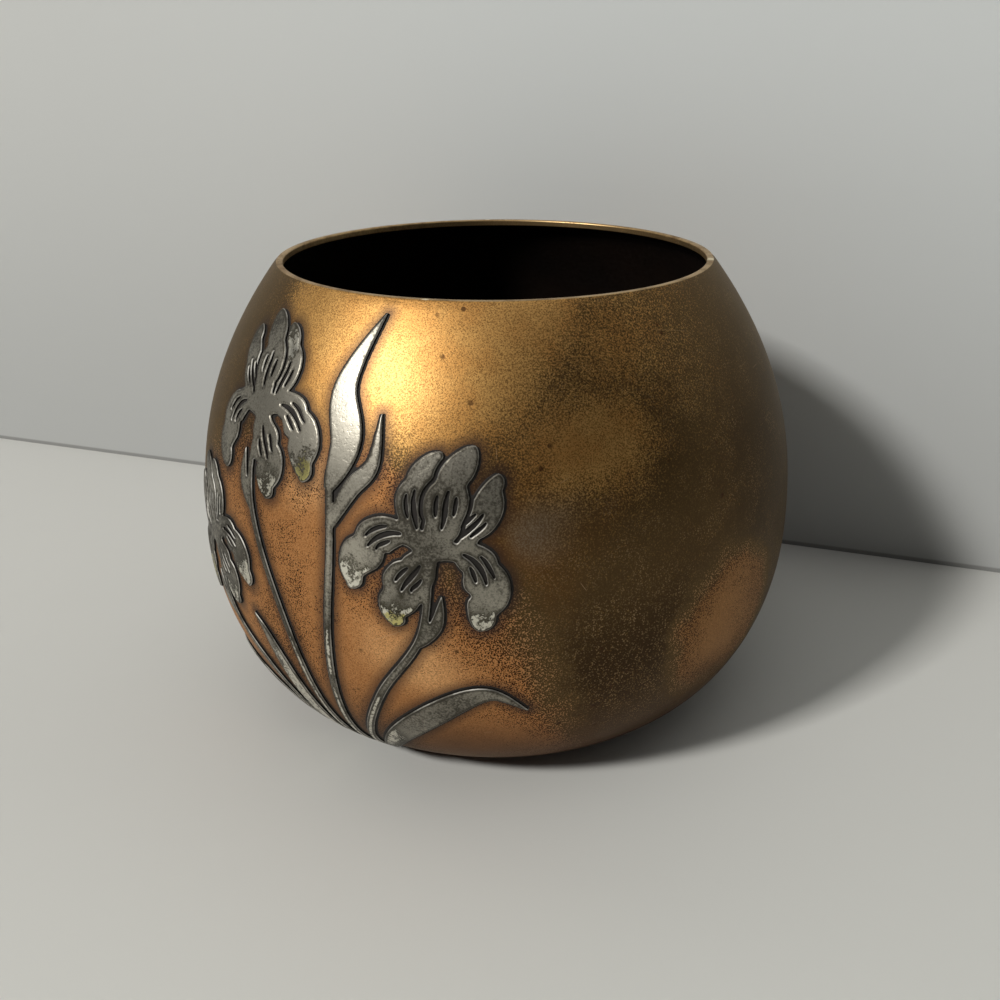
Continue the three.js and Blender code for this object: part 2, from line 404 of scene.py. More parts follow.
def draw_bud_stem(sheet):
    sheet.add(((2.2, 0), (3.1, 20), (5.3, 44), (6.6, 62), (5.4, 76)), stem_width, STEM_STEPS)
    sheet.add(((5.4, 73), (7.6, 82), (5, 92), BUD_TIP), leaf_width(1.4, 5.4), PETAL_STEPS)
    sheet.add(((6.1, 66), (10, 74), (13.6, 79), (13.4, 88)), leaf_width(1, 2.8), PETAL_STEPS)


def draw_long_leaf(sheet):
    midrib = ((-3.1, 0), (-4.8, 14), (-8.2, 28), (-12.2, 37.5), (-16, 42))
    sheet.add(midrib, leaf_width(1.5, 3.4), STEM_STEPS)


OVERLAY = {
    "iris_spray_left": draw_left_spray,
    "iris_spray_middle": draw_middle_spray,
    "iris_spray_right": draw_right_spray,
    "bud_stem": draw_bud_stem,
    "long_leaf": draw_long_leaf,
}


def bent(flat):
    """Bends points of the flat drawing, an array of x, y and z, onto the outside of the body."""
    length, radius, height, out_x, out_z = outside_table()
    along = PATTERN_FOOT_MARGIN + flat[:, 1] * DRAWING_SCALE
    surface = np.interp(along, length, radius)
    reach = surface + np.interp(along, length, out_x) * flat[:, 2]
    level = np.interp(along, length, height) + np.interp(along, length, out_z) * flat[:, 2]
    angle = PATTERN_AZIMUTH + flat[:, 0] * DRAWING_SCALE / surface
    return np.stack([reach * np.sin(angle), -reach * np.cos(angle), level], axis=1)


def lay_on_body(piece, base):
    """Bends a flat piece onto the body, with the drawing's plane at base."""
    mesh = piece.data
    flat = np.empty(len(mesh.vertices) * 3)
    mesh.vertices.foreach_get("co", flat)
    flat = flat.reshape(-1, 3) + (0, 0, base)
    mesh.vertices.foreach_set("co", (bent(flat) * MM).ravel())
    mesh.update()


def drawing_place(x, y):
    """The place on the body, in millimetres, of a point of the drawing."""
    return tuple(bent(np.array([[x, y, 0.0]]))[0])


def remeshed(piece, voxel, smoothing):
    skin = piece.modifiers.new("skin", "REMESH")
    skin.mode = "VOXEL"
    skin.voxel_size = voxel
    skin.use_smooth_shade = True
    soft = piece.modifiers.new("soft", "SMOOTH")
    soft.factor = 0.5
    soft.iterations = smoothing
    settle(piece)
    for face in piece.data.polygons:
        face.use_smooth = True


def edge_tree(piece):
    """The points of a flat piece's sawn edge, laid in one plane."""
    sides = [v.co for v in piece.data.vertices if abs(v.normal.z) < SIDE_NORMAL]
    tree = KDTree(len(sides))
    for i, point in enumerate(sides):
        tree.insert((point.x, point.y, 0), i)
    tree.balance()
    return tree


def round_edges(piece):
    """Lowers the top towards the sawn edge, and keeps each point's distance from that edge.

    Down the sawn side the distance counts below 0.
    """
    tree = edge_tree(piece)
    inside = piece.data.attributes.new("from_edge", "FLOAT", "POINT")
    for i, vertex in enumerate(piece.data.vertices):
        distance = tree.find((vertex.co.x, vertex.co.y, 0))[2]
        depth = SILVER_THICKNESS - vertex.co.z
        inside.data[i].value = -depth if depth > SILVER_SIDE else distance
        if vertex.co.z > SILVER_THICKNESS / 2:
            vertex.co.z -= SILVER_EDGE_DROP * math.exp(-((distance / SILVER_EDGE) ** 2))


def silver_piece(name):
    sheet = FlatSheet(f"{name}_sheet", 0, SILVER_THICKNESS, 0)
    OVERLAY[name](sheet)
    piece = sheet.finished()
    remeshed(piece, SILVER_VOXEL, SILVER_SMOOTHING)
    round_edges(piece)
    lay_on_body(piece, -SILVER_SINK)
    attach(piece, "root")
    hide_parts(name)
    return piece


def dirt_line(name):
    """The dark line of old polish and oxide in the corner round a silver piece."""
    sheet = FlatSheet(f"{name}_dark_line", -DIRT_DEPTH, DIRT_PROUD, DIRT_WIDTH)
    OVERLAY[name](sheet)
    piece = sheet.finished()
    remeshed(piece, DIRT_VOXEL, DIRT_SMOOTHING)
    lay_on_body(piece, 0)
    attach(piece, "root")
    return piece


def corner(radius, height, offsets):
    return [(radius + across, height + up) for across, up in offsets]


def body_profile():
    """The section of the body, from the middle of the base round the lip to the middle of the floor."""
    outside = outside_profile(OUTSIDE_ROWS)
    floor_top = RECESS_DEPTH + WALL
    lip_bottom = BODY_HEIGHT - LIP_DEPTH
    lip_inner = MOUTH_RADIUS - LIP_WIDTH
    shell = inward(outside_profile(INSIDE_ROWS), WALL)
    inside = [point for point in shell if floor_top + WALL / 2 < point[1] < lip_bottom - WALL]
    under = [(0, RECESS_DEPTH), *corner(RECESS_RADIUS, RECESS_DEPTH, RECESS_TOP_CORNER)]
    under += corner(RECESS_RADIUS + RECESS_SLOPE, 0, RECESS_FOOT_CORNER)
    lip = corner(MOUTH_RADIUS, BODY_HEIGHT, LIP_OUTER_CORNER)
    lip += corner(lip_inner, BODY_HEIGHT, LIP_INNER_CORNER)
    lip += corner(lip_inner, lip_bottom, LIP_UNDER_CORNER)
    floor = [(FOOT_RADIUS - WALL, floor_top), (0, floor_top)]
    return under + outside[:-1] + lip + inside[::-1] + floor


def silver_tree(pieces):
    """The silver's surface, thinned, to find what lies near it."""
    surfaces = [piece.data.vertices for piece in pieces]
    points = [v.co.copy() for surface in surfaces for i, v in enumerate(surface) if i % HALO_THINNING == 0]
    tree = KDTree(len(points))
    for i, point in enumerate(points):
        tree.insert(point, i)
    tree.balance()
    return tree


def spun_body(near_silver):
    """The body, with finer faces near the silver that carry the dark halo round it."""
    bm = bmesh.new()
    verts = [bm.verts.new((radius * MM, 0, height * MM)) for radius, height in body_profile()]
    edges = [bm.edges.new(pair) for pair in zip(verts, verts[1:])]
    bmesh.ops.spin(
        bm,
        geom=verts + edges,
        axis=(0, 0, 1),
        cent=(0, 0, 0),
        angle=2 * math.pi,
        steps=BODY_TURNS,
        use_merge=True,
    )
    bmesh.ops.remove_doubles(bm, verts=bm.verts, dist=MERGE_DISTANCE)
    bmesh.ops.recalc_face_normals(bm, faces=bm.faces)
    close = []
    for face in bm.faces:
        face.smooth = True
        middle = face.calc_center_median()
        if near_silver.find(middle)[2] < HALO_REACH * MM and face.normal.dot(middle) > 0:
            close.append(face)
    edges = list({edge for face in close for edge in face.edges})
    bmesh.ops.subdivide_edges(bm, edges=edges, cuts=1, use_grid_fill=True)
    body = new_object("bronze_body", bm)
    halo = body.data.attributes.new("by_silver", "FLOAT", "POINT")
    for i, vertex in enumerate(body.data.vertices):
        distance = near_silver.find(vertex.co)[2] / MM
        halo.data[i].value = max(0, 1 - distance / HALO_REACH)
    return body


# How far a scratch curves aside, and how sharply cells are picked by their random colour.
SCRATCH_BEND = 8.0
PICK_SOFTNESS = 0.02


class Finish:
    """A material under way, with short names for the nodes that it uses."""

    def __init__(self, name):
        self.material = bpy.data.materials.new(name)
        self.material.use_nodes = True
        self.tree = self.material.node_tree
        self.shader = self.tree.nodes["Principled BSDF"]
        self.place = self.node("TexCoord").outputs["Object"]

    def node(self, kind):
        return self.tree.nodes.new(f"ShaderNode{kind}")

    def link(self, value, socket):
        """Feeds a socket from another one, or sets it to a plain number, place or colour."""
        if isinstance(value, bpy.types.NodeSocket):
            self.tree.links.new(value, socket)
        elif socket.type == "RGBA":
            socket.default_value = (*value, 1)
        else:
            socket.default_value = value

    def calc(self, operation, first, second=0.0):
        node = self.node("Math")
        node.operation = operation
        self.link(first, node.inputs[0])
        self.link(second, node.inputs[1])
        return node.outputs[0]

    def plus(self, first, second):
        return self.calc("ADD", first, second)

    def minus(self, first, second):
        return self.calc("SUBTRACT", first, second)

    def times(self, first, second):
        return self.calc("MULTIPLY", first, second)

    def most(self, first, second):
        return self.calc("MAXIMUM", first, second)

    def about_middle(self, value, weight):
        """A pattern that swings about 0, by half the weight either way."""
        return self.times(self.minus(value, 0.5), weight)

    def noise(self, scale, detail=3.0, roughness=0.55, colour=False):
        """Clouds, with scale features to the metre."""
        node = self.node("TexNoise")
        self.link(self.place, node.inputs["Vector"])
        node.inputs["Scale"].default_value = scale
        node.inputs["Detail"].default_value = detail
        node.inputs["Roughness"].default_value = roughness
        return node.outputs["Color" if colour else "Fac"]

    def cells(self, scale):
        """The distance from the middle of each of scale cells to the metre, and the cell's random colour."""
        node = self.node("TexVoronoi")
        self.link(self.place, node.inputs["Vector"])
        node.inputs["Scale"].default_value = scale
        return node.outputs["Distance"], node.outputs["Color"]

    def level(self, value, low, high, first=0.0, last=1.0):
        """Goes smoothly from first to last while the value goes from low to high."""
        node = self.node("MapRange")
        node.interpolation_type = "SMOOTHSTEP"
        self.link(value, node.inputs["Value"])
        node.inputs["From Min"].default_value = low
        node.inputs["From Max"].default_value = high
        node.inputs["To Min"].default_value = first
        node.inputs["To Max"].default_value = last
        return node.outputs["Result"]

    def blend(self, share, first, second):
        """The first colour where the share is 0, the second where it is 1."""
        node = self.node("Mix")
        node.data_type = "RGBA"
        self.link(share, node.inputs["Factor"])
        self.link(first, node.inputs["A"])
        self.link(second, node.inputs["B"])
        return node.outputs["Result"]

    def vector(self, operation, first, second):
        node = self.node("VectorMath")
        node.operation = operation
        self.link(first, node.inputs[0])
        self.link(second, node.inputs["Scale" if operation == "SCALE" else 1])
        return node.outputs["Value" if operation == "DISTANCE" else "Vector"]

    def axes(self, place):
        node = self.node("SeparateXYZ")
        self.link(place, node.inputs[0])
        return node.outputs

    def attribute(self, name):
        node = self.node("Attribute")
        node.attribute_name = name
        return node.outputs["Fac"]

    def drifted_place(self, scale, detail, reach):
        """The place moved by clouds, half the reach in millimetres at most, so that borders wander."""
        sway = self.vector("SUBTRACT", self.noise(scale, detail, colour=True), (0.5, 0.5, 0.5))
        return self.vector("ADD", self.place, self.vector("SCALE", sway, reach * MM))

    def zone(self, place, centre, inner, outer):
        """1 within the inner distance of a centre, in millimetres, and 0 past the outer one."""
        away = self.vector("DISTANCE", place, tuple(c * MM for c in centre))
        return self.level(away, outer * MM, inner * MM)

    def zones(self, place, spots):
        """The strongest of several zones, each given by its centre, inner and outer distance."""
        return reduce(self.most, [self.zone(place, *spot) for spot in spots])

    def scratches(self, cell, length, width, share):
        """Fine bent marks of random lie in a share of the cells. Sizes in millimetres."""
        node = self.node("TexVoronoi")
        self.link(self.place, node.inputs["Vector"])
        node.inputs["Scale"].default_value = 1 / (cell * MM)
        turn = self.node("VectorRotate")
        turn.rotation_type = "EULER_XYZ"
        self.link(self.vector("SUBTRACT", self.place, node.outputs["Position"]), turn.inputs["Vector"])
        self.link(self.vector("SCALE", node.outputs["Color"], math.pi * 2), turn.inputs["Rotation"])
        local = self.axes(turn.outputs["Vector"])
        along = self.calc("ABSOLUTE", local["X"])
        bend = self.times(self.calc("POWER", along, 2.0), SCRATCH_BEND)
        aside = self.calc("ABSOLUTE", self.plus(local["Y"], bend))
        line = self.level(aside, width * MM, width * MM / 3)
        end = self.level(along, length * MM, length * MM / 3)
        picked = self.level(node.outputs["Color"], share, share - PICK_SOFTNESS)
        return self.times(self.times(line, end), picked)

    def bump(self, height, strength, distance):
        """Relief of the surface. The distance is in millimetres."""
        node = self.node("Bump")
        node.inputs["Strength"].default_value = strength
        node.inputs["Distance"].default_value = distance * MM
        self.link(height, node.inputs["Height"])
        self.link(node.outputs["Normal"], self.shader.inputs["Normal"])

    def set(self, **values):
        for name, value in values.items():
            self.link(value, self.shader.inputs[name.replace("_", " ")])


# Zones of the patina: centre, inner and outer distance in millimetres. All else is thick and brown. A zone
# whose inner distance is below 0 stays short of full strength.
GOLD_ZONES = (
    ((-8, -46, 95), 10, 34),
    ((20, -46, 90), -27, 37),
    ((13, -56, 76), -12, 29),
    ((18, -57.5, 74), 0, 19),
    ((-26, -44, 92), 12, 28),
    ((40, 34, 80), 10, 42),
    ((-40, 36, 76), 10, 40),
)
COPPER_ZONES = (
    ((-44, -46, 37), 16, 46),
    ((-30, -54, 62), 6, 25),
    ((-18, -60, 32), 4, 42),
    ((-4, -57, 12), 6, 31),
    ((47, -45, 33), 4, 22),
    ((26, 56, 16), -4, 30),
    ((42, 46, 28), -8, 27),
    ((-50, 34, 17), -4, 27),
    ((-30, 50, 14), -6, 28),
    ((54, 38, 14), 0, 30),
)
DULL_COPPER = ((47, -45, 33), 12, 34)
# Painted highlights on the copper: brighter where the lower bowl reflects the lit table.
COPPER_GLOW_ZONES = (((-15.7, -62.9, 36.2), 2, 14), ((-32.4, -52.6, 65.9), 2, 12))
# Darker zones of the brown. The two at the front right are painted shade, where the body reflects the shaded
# table.
DARK_AND_SHADED_ZONES = (((60, -28, 60), 10, 38), ((30, -50, 12), 6, 26), ((20, 58, 40), 8, 30))
REDDISH_ZONES = (((2, -62, 58), 4, 22), ((-20, 62, 50), 8, 34))
# A paler, greyish spot on the brown.
PALE_SPOT_ZONE = ((10.9, -62, 61.3), 1, 9)

# Heights between which the brown turns darker, a painted shade where the lower body reflects the shaded
# table, and the foot turns to its own colour, in millimetres.
LOW_SHADE_FROM = 58
LOW_SHADE_TO = 30
FOOT_FROM = 30
FOOT_TO = 3

# Clouds of the patina: features to the metre, detail and roughness. Drift has its reach last.
PATINA_DRIFT = (24, 4, 30)
CLOUDS = (34, 5, 0.6)
PATCHES = (210, 3, 0.6)
FINE_GRAIN = (3300, 3, 0.65)
RAGGED_GRAIN = (3800, 2, 0.6)
GOLD_TONES = (90, 4, 0.6)
THICK_PARTS = (90, 3)

# Dots of the patina: features to the metre.
COPPER_DOTS = 3500
GOLD_DOTS = 3200
FLECKS = 2800
PITS = 420

# Scratches: the cell that holds one, length and width in millimetres, and the share of the cells.
LONG_SCRATCHES = (26, 5, 0.05, 0.32)
SHORT_SCRATCHES = (9, 1.2, 0.07, 0.3)

GOLD = (0.66, 0.38, 0.125)
ORANGE_GOLD = (0.58, 0.29, 0.085)
GOLD_GRAIN = (0.42, 0.225, 0.07)
GOLD_DOT = (0.15, 0.07, 0.02)
COPPER = (0.60, 0.295, 0.115)
# A painted highlight, the lit table seen in the copper.
PAINTED_COPPER_GLOW = (0.92, 0.53, 0.24)
COPPER_GRAIN = (0.42, 0.18, 0.06)
DARK_DOT = (0.06, 0.022, 0.009)
BROWN = (0.102, 0.064, 0.026)
# The darker brown: painted shade low down and at the front right.
DARK_AND_SHADED_BROWN = (0.038, 0.023, 0.01)
RED_BROWN = (0.17, 0.078, 0.022)
FLECK = (0.40, 0.27, 0.14)
# The foot's own reddish brown, made darker as painted shade by the table.
FOOT = (0.078, 0.036, 0.021)
DARK_SPOT = (0.05, 0.02, 0.01)
PALE_GREY = (0.24, 0.19, 0.135)
SCRATCHED = (0.62, 0.42, 0.24)
HALO = (0.05, 0.032, 0.03)
EDGE_TINT = (0.95, 0.88, 0.78)
BROWN_ROUGHNESS = 0.48
GOLD_ROUGHNESS = 0.47
WAX = 0.045
WAX_ROUGHNESS = 0.3


class Patina(Finish):
    """The patina outside: thick and brown, and rubbed to copper and to gold in its zones."""

    def __init__(self, name):
        super().__init__(name)
        self.drifted = self.drifted_place(*PATINA_DRIFT)
        self.height = self.axes(self.drifted)["Z"]
        self.cloud = self.noise(*CLOUDS)
        self.patches = self.noise(*PATCHES)
        self.fine = self.level(self.noise(*FINE_GRAIN), 0.3, 0.7)

    def clouded(self, spots):
        """The share of some zones, with clouds and patches in their borders."""
        uneven = self.plus(self.about_middle(self.cloud, 0.3), self.about_middle(self.patches, 0.2))
        return self.plus(self.zones(self.drifted, spots), uneven)

    def brown(self):
        # Painted shade: the brown darkens towards the bottom and in the front-right zones, where the body
        # reflects the shaded table.
        low = self.level(self.height, LOW_SHADE_FROM * MM, LOW_SHADE_TO * MM)
        dark = self.most(low, self.zones(self.drifted, DARK_AND_SHADED_ZONES))
        colour = self.blend(dark, BROWN, DARK_AND_SHADED_BROWN)
        colour = self.blend(self.zones(self.drifted, REDDISH_ZONES), colour, RED_BROWN)
        colour = self.blend(self.level(self.fine, 0.0, 1.0, 0.25, 0.0), colour, DARK_DOT)
        away, pick = self.cells(FLECKS)
        flecks = self.times(self.level(away, 0.5, 0.2), self.level(pick, 0.56, 0.5))
        strewn = self.plus(self.level(self.patches, 0.4, 0.7, 0.0, 0.5), self.times(low, 0.45))
        return self.blend(self.times(flecks, strewn), colour, FLECK)

    def dot_cover(self, copper_zone):
        """How much of the copper its dots cover: most at the border, where only flecks of it are left."""
        peppered = self.plus(self.about_middle(self.patches, 0.9), self.about_middle(self.cloud, 2.8))
        peppered = self.calc("MINIMUM", self.plus(-0.1, peppered), 0.38)
        return self.most(self.level(copper_zone, 0.95, 0.1), peppered)

    def copper_dots(self, cover):
        round_dots = self.level(self.cells(COPPER_DOTS)[0], 0.95, 0.1)
        ragged = self.level(self.noise(*RAGGED_GRAIN), 0.3, 0.7)
        spread = self.level(self.plus(self.times(round_dots, 0.62), self.times(ragged, 0.38)), 0.2, 0.8)
        past = self.minus(self.plus(spread, self.times(cover, 1.02)), 1.0)
        return self.level(past, -0.07, 0.07)

    def copper(self, cover, dots):
        # A painted highlight: brighter copper in its zones, where the bowl reflects the lit table.
        rubbed = self.level(self.fine, 0.0, 1.0, 0.35, 0.85)
        rubbed = self.times(self.zones(self.drifted, COPPER_GLOW_ZONES), rubbed)
        colour = self.blend(rubbed, self.blend(self.fine, COPPER_GRAIN, COPPER), PAINTED_COPPER_GLOW)
        colour = self.blend(self.times(self.zone(self.place, *DULL_COPPER), 0.55), colour, BROWN)
        colour = self.blend(self.level(cover, 0.45, 1.0, 0.0, 0.6), colour, FLECK)
        return self.blend(dots, colour, self.blend(self.level(cover, 0.4, 1.0), DARK_DOT, BROWN))

    def gold(self):
        tones = self.level(self.noise(*GOLD_TONES), 0.38, 0.62)
        colour = self.blend(self.fine, GOLD_GRAIN, self.blend(tones, GOLD, ORANGE_GOLD))
        dots = self.level(self.cells(GOLD_DOTS)[0], 0.7, 0.15)
        dots = self.plus(dots, self.about_middle(self.patches, 0.9))
        return self.blend(self.level(dots, 0.4, 0.85, 0.0, 0.6), colour, GOLD_DOT)

    def pits(self):
        """Small dark pits, in the thicker parts alone."""
        away, pick = self.cells(PITS)
        pits = self.times(self.level(away, 0.26, 0.12), self.level(pick, 0.6, 0.64))
        return self.times(pits, self.level(self.noise(*THICK_PARTS), 0.45, 0.62))

    # A paler, greyish spot, uneven with the grain.
    def pale_spot(self):
        return self.times(self.zone(self.drifted, *PALE_SPOT_ZONE), self.level(self.fine, 0.2, 0.9, 0.3, 0.8))

    def all_scratches(self):
        long_ones = self.times(self.scratches(*LONG_SCRATCHES), 0.25)
        return self.most(long_ones, self.times(self.scratches(*SHORT_SCRATCHES), 0.4))

    def halo(self):
        """The dark rim of oxide that fades out from the silver."""
        near = self.calc("POWER", self.attribute("by_silver"), 0.95)
        return self.times(near, self.level(self.fine, 0.0, 1.0, 0.8, 1.0))


def bronze_patina():
    made = Patina("bronze_patina")
    gold_share = made.plus(made.clouded(GOLD_ZONES), made.about_middle(made.fine, 0.7))
    gold_share = made.level(gold_share, 0.12, 0.88)
    copper_zone = made.clouded(COPPER_ZONES)
    copper_share = made.level(copper_zone, 0.03, 0.25)
    cover = made.dot_cover(copper_zone)
    dots = made.copper_dots(cover)
    pits = made.pits()
    scratches = made.all_scratches()
    # Towards the foot the patina turns to its own reddish brown, darkened as painted shade near the table.
    foot = made.level(made.height, FOOT_FROM * MM, FOOT_TO * MM, 0.0, 0.95)
    colour = made.blend(copper_share, made.brown(), made.copper(cover, dots))
    colour = made.blend(gold_share, colour, made.gold())
    colour = made.blend(foot, colour, FOOT)
    colour = made.blend(made.times(pits, 0.8), colour, DARK_SPOT)
    colour = made.blend(made.pale_spot(), colour, PALE_GREY)
    colour = made.blend(scratches, colour, SCRATCHED)
    colour = made.blend(made.times(made.halo(), 0.95), colour, HALO)
    dull = made.most(made.times(dots, copper_share), made.times(made.fine, -0.5))
    rough = made.level(gold_share, 0.0, 1.0, BROWN_ROUGHNESS, GOLD_ROUGHNESS)
    rough = made.minus(made.plus(rough, made.times(dull, 0.1)), made.times(scratches, 0.15))
    made.set(Base_Color=colour, Metallic=1.0, Roughness=rough, Specular_Tint=EDGE_TINT)
    made.set(Coat_Weight=WAX, Coat_Roughness=WAX_ROUGHNESS)
    relief = made.plus(made.times(made.fine, 0.45), made.times(pits, -1.4))
    relief = made.minus(relief, made.plus(scratches, made.times(dots, 0.35)))
    made.bump(relief, 0.4, 0.04)
    return made.material


INSIDE_BLACK = (0.006, 0.004, 0.003)
INSIDE_BROWN = (0.022, 0.011, 0.006)


def bronze_inside():
    made = Finish("bronze_inside")
    grain = made.noise(1500, 2)
    colour = made.blend(made.noise(70, 5), INSIDE_BLACK, INSIDE_BROWN)
    made.set(Base_Color=colour, Metallic=0.5, Roughness=made.level(grain, 0.3, 0.7, 0.45, 0.65))
    made.bump(grain, 0.2, 0.03)
    return made.material


# Painted glints on the lip, the first where a small nick catches the light: centre, inner and outer distance
# in millimetres.
LIP_GLINTS = (((-1.8, 45, 96.4), 0.3, 0.9), ((43.8, -9.2, 96.4), 0.5, 1.8), ((-12, -43.5, 96.4), 0.2, 0.9))
LIP_BROWN = (0.25, 0.155, 0.07)
LIP_WORN = (0.54, 0.365, 0.175)
LIP_GLINT = (0.9, 0.78, 0.55)


def bronze_lip():
    made = Finish("bronze_lip")
    cloud = made.noise(160, 4)
    grain = made.noise(2600, 2)
    worn = made.level(made.plus(cloud, made.times(grain, 0.4)), 0.45, 0.85)
    colour = made.blend(worn, LIP_BROWN, LIP_WORN)
    # Painted glints: small bright spots on the lip.
    colour = made.blend(made.zones(made.place, LIP_GLINTS), colour, LIP_GLINT)
    made.set(Base_Color=colour, Metallic=1.0, Roughness=made.level(worn, 0, 1, 0.56, 0.4))
    made.bump(grain, 0.3, 0.03)
    return made.material


BASE_BROWN = (0.11, 0.06, 0.028)
BASE_WORN = (0.27, 0.15, 0.066)


def base_bronze():
    made = Finish("base_bronze")
    cloud = made.noise(160, 5)
    grain = made.noise(1800, 3)
    worn = made.level(made.plus(cloud, made.times(grain, 0.8)), 0.6, 1.2)
    made.set(Base_Color=made.blend(worn, BASE_BROWN, BASE_WORN), Metallic=0.9, Roughness=0.5)
    made.bump(grain, 0.25, 0.03)
    return made.material


# Where petals are rubbed bright: iris, petal, share of the petal's length, and reach in millimetres.
RUBBED_TIPS = (
    (LEFT_IRIS, 2, 0.86, 5.5),
    (LEFT_IRIS, 3, 0.8, 5),
    (LEFT_IRIS, 5, 0.82, 4.5),
    (MIDDLE_IRIS, 2, 0.88, 5),
    (MIDDLE_IRIS, 5, 0.84, 5),
    (MIDDLE_IRIS, 0, 0.8, 4),
    (RIGHT_IRIS, 2, 0.88, 5.5),
    (RIGHT_IRIS, 5, 0.86, 5),
    (RIGHT_IRIS, 3, 0.92, 4),
)
YELLOWED = ((LEFT_IRIS, 3, 0.8, 4.5), (MIDDLE_IRIS, 2, 0.9, 4), (RIGHT_IRIS, 5, 0.9, 3.5))

# Where stems are rubbed bright, partly a painted highlight along their rounded middle, and where the grey is
# paler: place in the drawing, and reach in millimetres.
RUBBED_AND_LIT_STEMS = (
    (-9, 16, 15),
    (-1.5, 14, 17),
    (3.2, 20, 17),
    (8.4, 19, 10),
    (-7, 24, 12),
    (-4, 34, 10),
    (4.5, 40, 10),
    (12, 28, 8),
)
PALE_SILVER = ((6, 90, 26), (-32, 60, 9), (-30, 42, 8), (30, 70, 7), (5, 60, 16))

# A zone is at its full strength within its reach divided by this.
RUBBED_FADE = 5
PALE_FADE = 3

# Clouds of the silver: features to the metre, detail and roughness. Drift has its reach last.
SILVER_DRIFT = (300, 3, 6)
WIDE_TONES = (48, 3, 0.5)
SILVER_CLOUDS = (150, 5, 0.65)
MOTTLE = (800, 3, 0.65)
SILVER_GRAIN = (2500, 2, 0.6)
SILVER_PITS = (1100, 2)

STAIN = (0.04, 0.034, 0.02)
DARK_SILVER = (0.07, 0.063, 0.05)
GREY_SILVER = (0.42, 0.39, 0.325)
BLACK_SIDE = (0.006, 0.005, 0.004)
BARE_SILVER = (0.68, 0.65, 0.56)
YELLOW_SILVER = (0.56, 0.50, 0.2)
MOTTLED_SILVER = (0.30, 0.27, 0.2)
WORN_AND_GLINTING_EDGE = (0.62, 0.60, 0.55)


def drawing_zones(spots, fade):
    return [(drawing_place(x, y), reach / fade, reach) for x, y, reach in spots]


def petal_zones(spots):
    """Zones round places on petals."""
    places = []
    for iris, petal, share, reach in spots:
        x, y = curve_point(placed(PETALS[petal][0], iris), share)
        places.append((x, y, reach))
    return drawing_zones(places, RUBBED_FADE)


class Tarnish(Finish):
    """The silver: grey and mottled, rubbed bare at the petals' tips and along the stems."""

    def __init__(self, name):
        super().__init__(name)
        self.drifted = self.drifted_place(*SILVER_DRIFT)
        self.inset = self.attribute("from_edge")
        self.cloud = self.noise(*SILVER_CLOUDS)
        self.mottle = self.noise(*MOTTLE)
        self.grain = self.noise(*SILVER_GRAIN)
        uneven = self.plus(self.about_middle(self.cloud, 0.8), self.about_middle(self.mottle, 0.9))
        self.uneven = self.plus(uneven, self.about_middle(self.grain, 1.5))

    def tone(self):
        """How pale the grey is: darker along the sawn edge, and paler in its zones."""
        wide = self.about_middle(self.noise(*WIDE_TONES), 2.3)
        tone = self.plus(self.minus(self.uneven, 0.12), wide)
        tone = self.plus(tone, self.level(self.inset, 0.2, 0.9, -0.4, 0.12))
        pale = self.zones(self.drifted, drawing_zones(PALE_SILVER, PALE_FADE))
        return self.plus(tone, self.times(pale, 0.3))

    def wear(self):
        """Where the silver is rubbed: tips towards their edge, and stems along their middle, there partly a
        painted highlight.
        """
        tips = self.zones(self.drifted, petal_zones(RUBBED_TIPS))
        tips = self.times(tips, self.level(self.inset, 0.6, 1.9, 1.1, 0.5))
        tips = self.times(tips, self.level(self.inset, 0.22, 0.5))
        # Stems: worn bright, and partly a painted highlight along the middle.
        stems = self.zones(self.drifted, drawing_zones(RUBBED_AND_LIT_STEMS, RUBBED_FADE))
        stems = self.times(stems, self.level(self.inset, 0.35, 0.75))
        return self.plus(tips, self.times(stems, 1.1))

    def bright(self):
        """Bare silver, yellowed in places and dull between."""
        yellow = self.zones(self.drifted, petal_zones(YELLOWED))
        yellow = self.level(self.plus(yellow, self.about_middle(self.mottle, 1.6)), 0.3, 0.6)
        colour = self.blend(yellow, BARE_SILVER, YELLOW_SILVER)
        return self.blend(self.level(self.mottle, 0.5, 0.35, 0.0, 0.5), colour, MOTTLED_SILVER)

    def edge_wear_and_glint(self):
        """The worn line along the rounded edge, partly a painted glint of light along it."""
        return self.times(self.level(self.inset, 0.26, 0.12), self.level(self.cloud, 0.38, 0.6, 0.1, 0.7))


def tarnished_silver():
    made = Tarnish("tarnished_silver")
    tone = made.tone()
    pits = made.level(made.noise(*SILVER_PITS), 0.55, 0.64)
    worn = made.plus(made.times(made.wear(), 0.9), made.times(made.uneven, 0.7))
    bare = made.times(made.level(worn, 0.42, 0.64), made.minus(1.0, made.times(pits, 0.85)))
    grey = made.blend(made.level(tone, -0.65, 0.6), DARK_SILVER, GREY_SILVER)
    grey = made.blend(made.times(made.level(worn, 0.1, 0.4), 0.8), grey, STAIN)
    colour = made.blend(bare, grey, made.bright())
    # The rounded edge: worn bright, and partly a painted glint.
    colour = made.blend(made.edge_wear_and_glint(), colour, WORN_AND_GLINTING_EDGE)
    colour = made.blend(made.level(made.inset, 0.07, -0.02), colour, BLACK_SIDE)
    rough = made.minus(made.level(tone, -0.4, 0.5, 0.5, 0.38), made.times(bare, 0.08))
    rough = made.plus(rough, made.level(made.inset, 0.3, 0.1, 0.0, 0.12))
    made.set(Base_Color=colour, Metallic=1.0, Roughness=rough)
    relief = made.plus(made.times(made.grain, 0.5), made.times(made.mottle, 1.2))
    relief = made.plus(relief, made.times(made.cloud, 3.0))
    made.bump(made.minus(relief, made.times(pits, 0.6)), 0.35, 0.04)
    return made.material


POLISH_BLACK = (0.004, 0.0035, 0.003)
POLISH_BROWN = (0.018, 0.012, 0.008)


